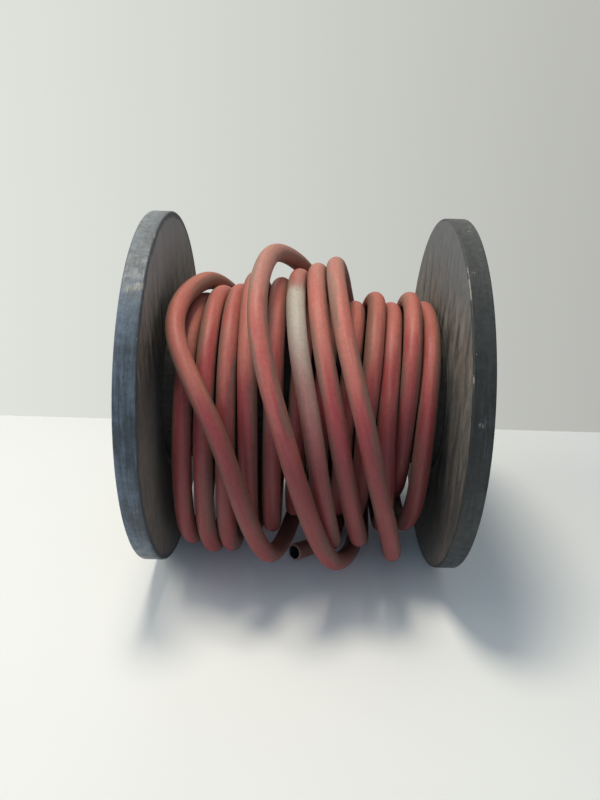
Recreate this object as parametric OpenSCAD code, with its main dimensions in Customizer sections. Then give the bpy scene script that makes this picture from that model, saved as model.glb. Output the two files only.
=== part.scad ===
// Hose reel: a wooden spool on two round cheeks, wound with one length of rubber hose.
// X runs along the spool's axis, and the origin is on the floor under the middle of the spool.
// Millimetres.

/* [Cheeks] */
// Diameter of the round cheeks that the reel stands on
cheek_d = 500; // [440:5:560]
// Thickness of a cheek
cheek_t = 27; // [24:1:36]
// Rounding of the cheeks' rim edges
rim_round = 2; // [0.5:0.5:6]

/* [Drum] */
// Outer diameter of the drum
drum_d = 206; // [190:2:230]
// Distance between the inner faces of the cheeks
drum_len = 377; // [360:1:400]
// Thickness of the staves
stave_t = 18; // [15:0.5:20]
// Number of staves round the drum
stave_count = 12; // [10:1:14]
// Gap between neighbouring staves
stave_gap = 0.4; // [0.2:0.1:1]
// Thickness of the two heads inside the drum
head_t = 18; // [15:0.5:27]
// Clearance between a head and the staves round it
head_gap = 0.2; // [0.1:0.05:0.5]

/* [Stave screws] */
// Shank diameter of the screws that hold the staves
stave_screw_d = 4; // [3:0.5:5]
// Length of these screws
stave_screw_len = 30; // [24:1:32]
// How far these screws are sunk below the drum's surface
stave_screw_sink = 0.3; // [0.2:0.1:1]

/* [Arbor] */
// Bore of the steel tube through the middle
arbor_bore = 40; // [30:1:46]
// Wall of the steel tube
arbor_wall = 4; // [3:0.5:5]
// Clearance round the steel tube
arbor_gap = 0.1; // [0.05:0.05:0.3]
// Diameter of the plates let into the cheeks' outer faces
hub_plate_d = 88; // [84:1:92]
// Thickness of these plates
hub_plate_t = 3; // [2:0.5:5]
// Clearance round these plates
hub_plate_gap = 0.3; // [0.1:0.1:0.6]
// Number of screws in each plate
hub_screw_count = 4; // [3:1:6]
// Shank diameter of these screws
hub_screw_d = 5; // [4:0.5:6]
// Length of these screws
hub_screw_len = 20; // [16:1:22]

/* [Tie rods] */
// Number of rods that clamp the cheeks on the drum
rod_count = 4; // [3:1:6]
// Diameter of a rod
rod_d = 10; // [8:1:12]
// Diameter of the circle that the rods stand on
rod_circle_d = 124; // [120:1:130]
// Clearance round a rod in the wood
rod_gap = 0.5; // [0.2:0.1:1]
// Chamfer at the rod ends
rod_chamfer = 1; // [0.5:0.1:1.5]
// Diameter of the washers
washer_d = 24; // [20:1:24]
// Thickness of the washers
washer_t = 2; // [1.5:0.5:3]
// Width of the nuts across their flats
nut_width = 17; // [15:1:19]
// Thickness of the nuts
nut_t = 8; // [6:0.5:10]
// How far the rods stand out of the nuts
rod_proud = 2; // [1:0.5:3]
// How far the rod ends lie below the cheek's outer face
rod_sink = 2; // [1:0.5:3]
// Clearance round the washers in their pockets
washer_gap = 1.5; // [0.5:0.5:2]

/* [Hose] */
// Outer diameter of the hose
hose_d = 25; // [18:0.5:25]
// Wall of the hose
hose_wall = 3; // [2:0.5:4]
// Depth of the open bore shown at the hose's two cut ends
hose_bore_depth = 20; // [8:1:22]
// Clearance between the hose and the drum
hose_seat_gap = 0.2; // [0.1:0.1:0.6]
// Clearance between the lowest loop and the floor
hose_floor_gap = 0.8; // [0.5:0.1:5]
// Clearance between the winding and the cheeks
hose_side_gap = 1; // [0.5:0.5:3]

/* [Hose saddle] */
// Thickness of the strap that holds the hose's inner end
saddle_t = 1.5; // [1:0.25:2]
// Width of the strap along the hose
saddle_w = 16; // [12:1:18]
// Clearance between the strap and the hose
saddle_gap = 0.5; // [0.5:0.1:1]
// Length of the strap's foot
saddle_foot = 20; // [16:1:24]
// Clearance between the foot and the drum
saddle_seat_gap = 0.1; // [0.05:0.05:0.3]
// Shank diameter of the foot's screw
saddle_screw_d = 4; // [3:0.5:5]
// Length of the foot's screw
saddle_screw_len = 16; // [10:1:18]
// Thickness of the round head of this screw
saddle_screw_head = 2.4; // [1.5:0.1:3]

/* [Small fits] */
// Clearance round the screws in the wood
screw_gap = 0.1; // [0.05:0.05:0.3]
// Width of the slots in the screw heads
slot_w = 1.2; // [0.8:0.1:1.5]

/* [Hidden] */
$fn = 64;

axis_h = cheek_d / 2;
drum_r = drum_d / 2;
half_len = drum_len / 2;
outer_x = half_len + cheek_t;
tube_r = arbor_bore / 2 + arbor_wall;
tube_hole_r = tube_r + arbor_gap;
head_r = drum_r - stave_t - head_gap;

stave_pitch = 360 / stave_count;
stave_angle = stave_pitch - stave_gap / drum_r * 180 / PI;
stave_screw_x = half_len - head_t / 2;

hub_screw_r = (hub_plate_d / 2 + tube_r) / 2;
hub_screw_turn = 180 / hub_screw_count;

rod_hole_r = rod_d / 2 + rod_gap;
pocket_r = washer_d / 2 + washer_gap;
pocket_depth = washer_t + nut_t + rod_proud + rod_sink;
pocket_floor = outer_x - pocket_depth;

// Names of the pieces that repeat
function numbered(stem, i) = str(stem, i < 10 ? "0" : "", i);
STAVES = [for (i = [1 : stave_count]) numbered("stave_", i)];
RODS = [for (i = [1 : rod_count]) str("tie_rod_", i)];

// ---- The hose's route -----------------------------------------------------------------
// Angles start at the top of the drum and grow towards the front, so that 90 is the front,
// 180 the bottom and 270 the back. A station stands at every eighth of a turn and holds
// [distance across from the drum's middle, height above the snug place on the drum].
hose_r = hose_d / 2;
seat_r = drum_r + hose_seat_gap + hose_r;
eighth = 45;

// The cut outer end, from low on the front, under the reel and up its back to the first top
free_end = [[-80, 127], [58, 120], [8, 108], [-60, 70], [-115, 45]];

// Loose loops that lean across the winding, eight stations each
leaning_loops = [
    [[-146, 41], [-162, 60], [-95, 91], [-44, 123], [-6, 84], [16, 80], [3, 89], [8, 70]],
    [[-46, 84], [-58, 91], [-14, 105], [41, 129], [90, 120], [62, 107], [34, 72], [11, 36]],
    [[-11, 51], [-10, 61], [16, 83], [43, 101], [54, 92], [70, 79], [60, 64], [36, 47]],
    [[14, 59], [19, 65], [47, 81], [79, 96], [96, 92], [98, 82], [85, 74], [58, 64]],
    [[39, 67], [47, 73], [84, 92], [125, 114], [139, 111], [146, 82], [158, 46], [173, 18]]];

// Turns on the drum, right to left: [across at the top, at the front, at the bottom,
// height where the turn rides over the top, slack that hangs at the bottom]
drum_turns = [
    [172, 157, 148, 1, 76],
    [147, 132, 132, 21, 30],
    [122, 107, 120, 5, 78],
    [98, 80, 80, 20, 60],
    [71, 54, 52, 5, 56],
    [36, 23, 22, 1, 54],
    [3, -8, -9, 9, 58],
    [-36, -38, -41, 38, 84],
    [-71, -69, -68, 46, 96],
    [-94, -97, -97, 27, 114],
    [-120, -125, -123, 24, 116],
    [-146, -153, -155, 12, 104]];

// At the back the turns on the drum lie side by side, from this one on the right
back_first = 147;
back_lane = 26.8;
// The last of them runs to the hose's inner end beside the left cheek
back_last = -163;
inner_end_x = -170;
// Shares of a turn's slack and of its rise at the eight stations, from the top
slack_share = [0, 0.12, 0.38, 0.86, 1, 0.62, 0.14, 0.03];
rise_share = [1, 0.8, 0.3, 0, 0, 0, 0, 0.45];
// Angles of the two ends, counted from the first top
free_angle = -198;
inner_angle = 17 * 360 - 15;
// Room that the stations were chosen for, below the drum and to each side
drawn_slack = 121;
drawn_side = 175;

slack_scale = (axis_h - hose_floor_gap - hose_r - seat_r) / drawn_slack;
side_scale = (half_len - hose_side_gap - hose_r) / drawn_side;

turns = len(drum_turns);
back_x = [for (k = [0 : turns - 1]) k < turns - 1 ? back_first - back_lane * k : back_last];
// Distances across at every quarter of the turns on the drum, with a neighbour at each end
quarter_x = concat(
    [leaning_loops[len(leaning_loops) - 1][6][0]],
    [for (k = [0 : turns - 1], x = [each [for (q = [0 : 2]) drum_turns[k][q]], back_x[k]]) x],
    [inner_end_x, inner_end_x]);
// Smooth value half-way between two quarters
function between(list, i) = (9 * (list[i] + list[i + 1]) - list[i - 1] - list[i + 2]) / 16;
// A turn's rise belongs to its top, so the last quarter climbs to the next turn's rise
function rise(k, j) = j < 6 ? drum_turns[k][3] : k + 1 < turns ? drum_turns[k + 1][3] : 0;
drum_stations = [for (k = [0 : turns - 1], j = [0 : 7])
    let (q = 4 * k + floor(j / 2) + 1)
    [j % 2 == 0 ? quarter_x[q] : between(quarter_x, q),
        rise(k, j) * rise_share[j] + drum_turns[k][4] * slack_share[j]]];
stations = [for (s = concat(free_end, [for (loop = leaning_loops) each loop], drum_stations,
    [[inner_end_x, 0]])) [s[0] * side_scale, seat_r + s[1] * slack_scale]];
first_angle = -eighth * len(free_end);

// Point of the route at an angle, on a smooth curve through the stations
function station(i) = stations[max(0, min(len(stations) - 1, i))];
function curve(a, b, c, d, t) = (2 * b + (c - a) * t + (2 * a - 5 * b + 4 * c - d) * t * t
    + (3 * b - a - 3 * c + d) * t * t * t) / 2;
function route(angle) =
    let (u = (angle - first_angle) / eighth, i = floor(u))
    let (s = curve(station(i - 1), station(i), station(i + 1), station(i + 2), u - i))
    [s[0], -s[1] * sin(angle), s[1] * cos(angle)];

function unit(v) = v / norm(v);
function heading(angle) = unit(route(angle + 1) - route(angle - 1));
// Direction straight away from the drum, square to the hose
function outward(angle) =
    let (out = [0, -sin(angle), cos(angle)], along = heading(angle))
    unit(out - (out * along) * along);

// ---- The hose's tube ------------------------------------------------------------------
// Rings stand closer in the tight bend near the free end, up to bend_end
ring_sides = 6;
ring_step = 15;
bend_end = -150;
bend_step = 6;
ring_angles = concat(
    [for (a = [free_angle : bend_step : bend_end - 1]) a],
    [for (a = [bend_end : ring_step : inner_angle]) a]);

// Corners of the ring round a point of the route, at a distance ahead along the hose
function ring(angle, radius, ahead = 0) =
    let (along = heading(angle), out = outward(angle), side = cross(along, out))
    let (centre = route(angle) + ahead * along)
    [for (j = [0 : ring_sides - 1]) let (turn = 360 * j / ring_sides)
        centre + radius * (cos(turn) * side + sin(turn) * out)];

// Both ends run straight for one diameter, and each has the mouth of the bore in its face
bore_r = hose_r - hose_wall;
hose_rings = concat(
    [ring(free_angle, bore_r, hose_bore_depth - hose_d)],
    [ring(free_angle, bore_r, -hose_d)],
    [ring(free_angle, hose_r, -hose_d)],
    [for (a = ring_angles) ring(a, hose_r)],
    [ring(inner_angle, hose_r, hose_d)],
    [ring(inner_angle, bore_r, hose_d)],
    [ring(inner_angle, bore_r, hose_d - hose_bore_depth)]);

// Triangles of a closed skin over a row of rings
module skin(rings, sides) {
    last = len(rings) - 1;
    polyhedron(
        points = [for (r = rings) each r],
        faces = concat(
            [for (j = [2 : sides - 1]) [0, j, j - 1]],
            [for (r = [0 : last - 1], j = [0 : sides - 1])
                let (a = r * sides + j, b = r * sides + (j + 1) % sides)
                each [[a, b, b + sides], [a, b + sides, a + sides]]],
            [for (j = [2 : sides - 1]) [0, j - 1, j] + last * sides * [1, 1, 1]]));
}

// Least gap between two turns of the hose, from its middle line to the pieces of it that lie
// within a few steps of the same angle on the other turns
gap_step = 3;
gap_reach = 4;
module echo_hose_gap() {
    line = [for (a = [free_angle : gap_step : inner_angle]) route(a)];
    per_turn = 360 / gap_step;
    laps = floor(len(line) / per_turn);
    gaps = [for (i = [0 : len(line) - 2], lap = [1 : laps], near = [-gap_reach : gap_reach])
        let (k = i + lap * per_turn + near)
        if (k < len(line) - 1)
            let (step = line[k + 1] - line[k], to = line[i] - line[k])
            norm(to - max(0, min(1, to * step / (step * step))) * step) - hose_d];
    lengths = [for (i = [1 : len(line) - 1]) norm(line[i] - line[i - 1])];
    echo(str("Least gap between turns of the hose: ", min(gaps), " mm"));
    echo(str("Length of the hose: ", (lengths * [for (l = lengths) 1] + 2 * hose_d) / 1000, " m"));
}

// ---- Shared shapes --------------------------------------------------------------------
// Everything below is drawn about the spool's axis and then lifted on to the floor
module lifted() {
    translate([0, 0, axis_h]) children();
}

module on_left() {
    mirror([1, 0, 0]) children();
}

// Turns its children about the spool's axis, so that what stood at the top is at the angle
module turned(angle) {
    rotate([angle, 0, 0]) children();
}

// A round bar along the spool's axis
module bar(from, to, r) {
    translate([from, 0, 0]) rotate([0, 90, 0]) cylinder(h = to - from, r = r);
}

// A bar that runs on past both faces of what it is cut from
cut = 1;
module bore(from, to, r) {
    bar(from - cut, to + cut, r);
}

// Places its children at each rod, with their own axis along the spool's
module at_rods() {
    for (i = [1 : rod_count]) at_rod(i) children();
}

module at_rod(i) {
    turned((i - 1) * 360 / rod_count) translate([0, 0, rod_circle_d / 2]) children();
}

// Wood screw with a countersunk slotted head, its head's face at z = 0, pointing down
screw_tip = 0.3;
module wood_screw(d, length) {
    head = d;
    point = d;
    difference() {
        union() {
            translate([0, 0, -head / 2]) cylinder(h = head / 2, r1 = d / 2, r2 = head);
            translate([0, 0, point - length]) cylinder(h = length - point - head / 2, r = d / 2);
            translate([0, 0, -length]) cylinder(h = point, r1 = screw_tip, r2 = d / 2);
        }
        translate([-d, -slot_w / 2, -head / 4]) cube([2 * d, slot_w, head]);
    }
}

// The hole for such a screw, with its clearance all round and open above the head
module screw_hole(d, length) {
    head = d + screw_gap;
    translate([0, 0, -d / 2 - screw_gap]) cylinder(h = d / 2, r1 = d / 2 + screw_gap, r2 = head);
    translate([0, 0, -screw_gap]) cylinder(h = length, r = head);
    translate([0, 0, -length - screw_gap]) cylinder(h = length, r = d / 2 + screw_gap);
}

// ---- Cheeks ---------------------------------------------------------------------------
// Right-hand cheek, with rounded rim edges
module cheek() {
    difference() {
        cheek_board();
        bore(half_len, outer_x, tube_hole_r);
        bar(outer_x - hub_plate_t, outer_x + cut, hub_plate_d / 2 + hub_plate_gap);
        at_rods() bore(half_len, outer_x, rod_hole_r);
        at_rods() bar(pocket_floor, outer_x + cut, pocket_r);
        hub_screw_places() screw_hole(hub_screw_d, hub_screw_len);
    }
}

module cheek_board() {
    corner = [for (a = [0 : 15 : 90]) rim_round * [sin(a), 1 - cos(a)]];
    last = len(corner) - 1;
    inner = [for (c = corner) [axis_h - rim_round + c[0], c[1]]];
    outer = [for (i = [0 : last]) [inner[last - i][0], cheek_t - inner[last - i][1]]];
    translate([half_len, 0, 0]) rotate([0, 90, 0])
        rotate_extrude($fn = 180) polygon(concat([[0, 0]], inner, outer, [[0, cheek_t]]));
}

// ---- Drum -----------------------------------------------------------------------------
// Right-hand head: the disc inside the drum that the staves are screwed to
module drum_head() {
    difference() {
        bar(half_len - head_t, half_len, head_r);
        bore(half_len - head_t, half_len, tube_hole_r);
        at_rods() bore(half_len - head_t, half_len, rod_hole_r);
        for (i = [1 : stave_count]) stave_screw_place(i)
            screw_hole(stave_screw_d, stave_screw_len);
    }
}

function stave_middle(i) = (i - 0.5) * stave_pitch;

// One stave, with its screw holes and the pilot hole of the saddle where that meets it
module stave(i) {
    difference() {
        turned(stave_middle(i)) translate([-half_len, 0, 0]) rotate([0, 90, 0])
            rotate([0, 0, 180 - stave_angle / 2]) rotate_extrude(angle = stave_angle, $fn = 180)
                translate([drum_r - stave_t, 0]) square([stave_t, drum_len]);
        stave_screw_place(i) screw_hole(stave_screw_d, stave_screw_len);
        on_left() stave_screw_place(i) screw_hole(stave_screw_d, stave_screw_len);
        at_saddle_screw() pan_screw_hole();
    }
}

module stave_screw_place(i) {
    turned(stave_middle(i)) translate([stave_screw_x, 0, drum_r - stave_screw_sink]) children();
}

module stave_screws() {
    for (i = [1 : stave_count]) stave_screw_place(i) wood_screw(stave_screw_d, stave_screw_len);
}

// ---- Arbor ----------------------------------------------------------------------------
module arbor_tube() {
    difference() {
        bar(-outer_x, outer_x, tube_r);
        bore(-outer_x, outer_x, arbor_bore / 2);
    }
}

// Right-hand plate, flush with the cheek's outer face
module hub_plate() {
    difference() {
        bar(outer_x - hub_plate_t, outer_x, hub_plate_d / 2);
        bore(outer_x - hub_plate_t, outer_x, tube_hole_r);
        hub_screw_places() screw_hole(hub_screw_d, hub_screw_len);
    }
}

module hub_screw_places() {
    for (i = [1 : hub_screw_count])
        turned(hub_screw_turn + i * 360 / hub_screw_count)
            translate([outer_x, 0, hub_screw_r]) rotate([0, 90, 0]) children();
}

module hub_screws() {
    hub_screw_places() wood_screw(hub_screw_d, hub_screw_len);
}

// ---- Tie rods -------------------------------------------------------------------------
module tie_rod(i) {
    end = outer_x - rod_sink;
    at_rod(i) {
        bar(rod_chamfer - end, end - rod_chamfer, rod_d / 2);
        rod_end(end);
        on_left() rod_end(end);
    }
}

module rod_end(end) {
    translate([end - rod_chamfer, 0, 0]) rotate([0, 90, 0])
        cylinder(h = rod_chamfer, r1 = rod_d / 2, r2 = rod_d / 2 - rod_chamfer);
}

// Right-hand washers, on the floors of their pockets
module rod_washers() {
    at_rods() difference() {
        bar(pocket_floor, pocket_floor + washer_t, washer_d / 2);
        bore(pocket_floor, pocket_floor + washer_t, rod_hole_r);
    }
}

// Right-hand nuts: hexagons whose corners are turned off over this share of their thickness, down
// to a round face that is this much smaller than the flats
nut_turned = 0.2;
nut_face_inset = 0.2;
module rod_nuts() {
    from = pocket_floor + washer_t;
    turned_from = from + nut_t * (1 - nut_turned);
    corner_r = nut_width / 2 / cos(30);
    at_rods() difference() {
        intersection() {
            translate([from, 0, 0]) rotate([0, 90, 0]) cylinder(h = nut_t, r = corner_r, $fn = 6);
            union() {
                bar(from, turned_from, corner_r + cut);
                translate([turned_from, 0, 0]) rotate([0, 90, 0])
                    cylinder(h = nut_t * nut_turned, r1 = corner_r, r2 = nut_width / 2 - nut_face_inset);
            }
        }
        bore(from, from + nut_t, rod_d / 2 + screw_gap);
    }
}

// ---- Hose and its saddle --------------------------------------------------------------
module hose() {
    skin(hose_rings, ring_sides);
    echo_hose_gap();
}

// The saddle stands in the middle of the hose's last straight piece on the drum
saddle_angle = inner_angle - ring_step / 2;
saddle_from = route(inner_angle - ring_step);
saddle_to = route(inner_angle);
saddle_x = (saddle_from[0] + saddle_to[0]) / 2;
saddle_yaw = atan2(saddle_to[0] - saddle_from[0], norm(saddle_to - saddle_from));
// Its middle lies between the tube's straight side and the round route there
saddle_r = (across((saddle_from + saddle_to) / 2) + across(route(saddle_angle))) / 2;
saddle_bore_r = hose_r + saddle_gap;
saddle_low = drum_r + saddle_seat_gap - saddle_r;
saddle_screw_x = saddle_bore_r + saddle_t + (saddle_foot - saddle_t) / 2;

// Distance of a point from the spool's axis
function across(p) = norm([p[1], p[2]]);

module at_saddle() {
    turned(saddle_angle) translate([saddle_x, 0, saddle_r]) rotate([0, 0, saddle_yaw]) children();
}

module at_saddle_screw() {
    at_saddle() translate([saddle_screw_x, 0, saddle_low + saddle_t]) children();
}

module hose_saddle() {
    difference() {
        at_saddle() rotate([90, 0, 0])
            linear_extrude(height = saddle_w, center = true) saddle_outline();
        at_saddle_screw() pan_screw_hole();
    }
}

// An arch over the hose, with one leg down to the drum and one that turns out into a foot
module saddle_outline() {
    outside = saddle_bore_r + saddle_t;
    difference() {
        circle(r = outside);
        circle(r = saddle_bore_r);
        translate([-outside - cut, -outside - cut]) square([2 * (outside + cut), outside + cut]);
    }
    translate([-outside, saddle_low]) square([saddle_t, -saddle_low]);
    translate([saddle_bore_r, saddle_low]) square([saddle_t, -saddle_low]);
    translate([saddle_bore_r, saddle_low]) square([saddle_foot, saddle_t]);
}

// Round-headed screw, the underside of its head at z = 0, pointing down. The upper part of the
// head slopes in to a flat top; both are shares of the head's own height and width
head_slope = 0.4;
head_top = 0.7;
module hose_saddle_screw() {
    head_r = saddle_screw_d;
    slope_from = saddle_screw_head * (1 - head_slope);
    at_saddle_screw() difference() {
        union() {
            cylinder(h = slope_from, r = head_r);
            translate([0, 0, slope_from])
                cylinder(h = saddle_screw_head * head_slope, r1 = head_r, r2 = head_r * head_top);
            translate([0, 0, -saddle_screw_len]) cylinder(h = saddle_screw_len, r = saddle_screw_d / 2);
        }
        translate([-saddle_screw_d - cut, -slot_w / 2, saddle_screw_head / 2])
            cube([2 * (saddle_screw_d + cut), slot_w, saddle_screw_head]);
    }
}

module pan_screw_hole() {
    translate([0, 0, -saddle_screw_len - screw_gap])
        cylinder(h = saddle_screw_len + 2 * saddle_t, r = saddle_screw_d / 2 + screw_gap);
}

// ---- Colours and the list of nodes ----------------------------------------------------
module painted_wood() {
    color([0.16, 0.16, 0.17]) lifted() children();
}

module bare_wood() {
    color([0.55, 0.45, 0.33]) lifted() children();
}

module steel() {
    color([0.6, 0.6, 0.62]) lifted() children();
}

module red_rubber() {
    color([0.62, 0.33, 0.29]) lifted() children();
}

painted_wood() on_left() cheek();  // left_cheek
painted_wood() cheek();  // right_cheek
bare_wood() on_left() drum_head();  // left_drum_head
bare_wood() drum_head();  // right_drum_head
for (i = [1 : stave_count])
    painted_wood() stave(i);
steel() on_left() stave_screws();  // left_stave_screws
steel() stave_screws();  // right_stave_screws
steel() arbor_tube();
steel() on_left() hub_plate();  // left_hub_plate
steel() hub_plate();  // right_hub_plate
steel() on_left() hub_screws();  // left_hub_screws
steel() hub_screws();  // right_hub_screws
for (i = [1 : rod_count])
    steel() tie_rod(i);
steel() on_left() rod_washers();  // left_rod_washers
steel() rod_washers();  // right_rod_washers
steel() on_left() rod_nuts();  // left_rod_nuts
steel() rod_nuts();  // right_rod_nuts
red_rubber() hose();
steel() hose_saddle();
steel() hose_saddle_screw();
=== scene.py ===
"""Finishes of a wooden hose reel and the rubber hose that is wound on it.

The reel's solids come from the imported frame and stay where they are. This file gives them their
paint, wood and steel, winds the hose ring by ring along its route, and sets the stage.
Sizes are in metres, X runs along the spool's axis, and the origin is on the floor under the reel.
"""

import bisect
import math
from typing import NamedTuple

import bmesh
import bpy
from bpy.props import FloatProperty, FloatVectorProperty, IntProperty, PointerProperty
from bpy.types import Operator, Panel, PropertyGroup
from mathutils import Matrix, Vector


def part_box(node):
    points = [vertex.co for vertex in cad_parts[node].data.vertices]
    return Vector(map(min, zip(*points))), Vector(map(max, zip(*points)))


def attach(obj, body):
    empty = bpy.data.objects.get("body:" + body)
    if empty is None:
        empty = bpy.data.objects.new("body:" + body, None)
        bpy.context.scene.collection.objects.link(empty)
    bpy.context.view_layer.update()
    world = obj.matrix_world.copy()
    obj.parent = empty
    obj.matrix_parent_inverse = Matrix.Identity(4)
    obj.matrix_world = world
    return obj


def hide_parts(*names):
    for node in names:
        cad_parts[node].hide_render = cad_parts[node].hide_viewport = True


bl_info = {
    "name": "Hose Reel",
    "version": (1, 0, 0),
    "blender": (4, 5, 0),
    "location": "View3D > Sidebar > Hose Reel",
    "description": "Dresses a wooden hose reel and winds its rubber hose",
    "category": "Object",
}

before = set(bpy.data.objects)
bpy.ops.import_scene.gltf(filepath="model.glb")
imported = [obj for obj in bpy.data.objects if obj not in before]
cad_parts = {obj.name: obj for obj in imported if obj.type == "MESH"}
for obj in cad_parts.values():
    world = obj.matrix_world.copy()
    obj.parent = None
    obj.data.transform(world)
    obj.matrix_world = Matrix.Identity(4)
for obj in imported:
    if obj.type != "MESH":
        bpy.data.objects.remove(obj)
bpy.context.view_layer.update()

# ---- Sizes taken from the frame ----
CHEEK_LOW, CHEEK_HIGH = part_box("right_cheek")
AXIS_HEIGHT = (CHEEK_LOW.z + CHEEK_HIGH.z) / 2
CHEEK_RADIUS = (CHEEK_HIGH.z - CHEEK_LOW.z) / 2
INNER_FACE = CHEEK_LOW.x
STAVES = sorted(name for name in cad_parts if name.startswith("stave_"))
TIE_RODS = sorted(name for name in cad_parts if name.startswith("tie_rod_"))
DRUM_RADIUS = max(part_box(name)[1].z for name in STAVES) - AXIS_HEIGHT

# ---- The hose's route ----
# Angles are in degrees from the top of the drum and grow towards the front, so 90 is the
# front, 180 the bottom and 270 the back. A station stands at every eighth of a turn and
# holds (distance across from the drum's middle, height above the snug place on the drum).
EIGHTH = 45

# The cut outer end, from low on the front, under the reel and up its back to the first top
FREE_END = [(-0.080, 0.127), (0.058, 0.120), (0.008, 0.108), (-0.060, 0.070), (-0.115, 0.045)]

# Loose loops that lean across the winding, eight stations each
LEANING_LOOPS = [
    [(-0.146, 0.041), (-0.162, 0.060), (-0.095, 0.091), (-0.044, 0.123),
     (-0.006, 0.084), (0.016, 0.080), (0.003, 0.089), (0.008, 0.070)],
    [(-0.046, 0.084), (-0.058, 0.091), (-0.014, 0.105), (0.041, 0.129),
     (0.090, 0.120), (0.062, 0.107), (0.034, 0.072), (0.011, 0.036)],
    [(-0.011, 0.051), (-0.010, 0.061), (0.016, 0.083), (0.043, 0.101),
     (0.054, 0.092), (0.070, 0.079), (0.060, 0.064), (0.036, 0.047)],
    [(0.014, 0.059), (0.019, 0.065), (0.047, 0.081), (0.079, 0.096),
     (0.096, 0.092), (0.098, 0.082), (0.085, 0.074), (0.058, 0.064)],
    [(0.039, 0.067), (0.047, 0.073), (0.084, 0.092), (0.125, 0.114),
     (0.139, 0.111), (0.146, 0.082), (0.158, 0.046), (0.173, 0.018)],
]

# Turns on the drum, right to left: (across at the top, at the front, at the bottom,
# height where the turn rides over the top, slack that hangs at the bottom)
DRUM_TURNS = [
    (0.172, 0.157, 0.148, 0.001, 0.076),
    (0.147, 0.132, 0.132, 0.021, 0.030),
    (0.122, 0.107, 0.120, 0.005, 0.078),
    (0.098, 0.080, 0.080, 0.020, 0.060),
    (0.071, 0.054, 0.052, 0.005, 0.056),
    (0.036, 0.023, 0.022, 0.001, 0.054),
    (0.003, -0.008, -0.009, 0.009, 0.058),
    (-0.036, -0.038, -0.041, 0.038, 0.084),
    (-0.071, -0.069, -0.068, 0.046, 0.096),
    (-0.094, -0.097, -0.097, 0.027, 0.114),
    (-0.120, -0.125, -0.123, 0.024, 0.116),
    (-0.146, -0.153, -0.155, 0.012, 0.104),
]

# At the back the turns on the drum lie side by side, from this one on the right
BACK_FIRST = 0.147
BACK_LANE = 0.0268
BACK_LAST = -0.163
INNER_END_X = -0.170
# Shares of a turn's slack and of its rise at the eight stations, from the top
SLACK_SHARE = (0, 0.12, 0.38, 0.86, 1, 0.62, 0.14, 0.03)
RISE_SHARE = (1, 0.8, 0.3, 0, 0, 0, 0, 0.45)
# Angles of the two ends, counted from the first top
FREE_ANGLE = -198
INNER_ANGLE = 17 * 360 - 15
# Steps of the angle in which the hose's length is measured
MEASURING_STEP = 1.5
# Room that the stations were chosen for, below the drum and to each side
DRAWN_SLACK = 0.121
DRAWN_SIDE = 0.175


def drum_stations():
    """Stations of the turns on the drum, with the odd ones half-way between two quarters."""
    last = len(DRUM_TURNS) - 1
    quarters = [LEANING_LOOPS[-1][6][0]]
    for number, turn in enumerate(DRUM_TURNS):
        back = BACK_FIRST - BACK_LANE * number if number < last else BACK_LAST
        quarters += [*turn[:3], back]
    quarters += [INNER_END_X, INNER_END_X]
    found = []
    for number, turn in enumerate(DRUM_TURNS):
        next_rise = DRUM_TURNS[number + 1][3] if number < last else 0
        for eighth in range(8):
            at = 4 * number + eighth // 2 + 1
            across = quarters[at]
            if eighth % 2:
                outer = quarters[at - 1] + quarters[at + 2]
                across = (9 * (quarters[at] + quarters[at + 1]) - outer) / 16
            rise = turn[3] if eighth < 6 else next_rise
            height = rise * RISE_SHARE[eighth] + turn[4] * SLACK_SHARE[eighth]
            found.append((across, height))
    return found


def smooth(a, b, c, d, t):
    """The value at share t of the way from b to c, on a smooth curve through all four."""
    return (2 * b + (c - a) * t + (2 * a - 5 * b + 4 * c - d) * t**2
            + (3 * b - a - 3 * c + d) * t**3) / 2


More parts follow.
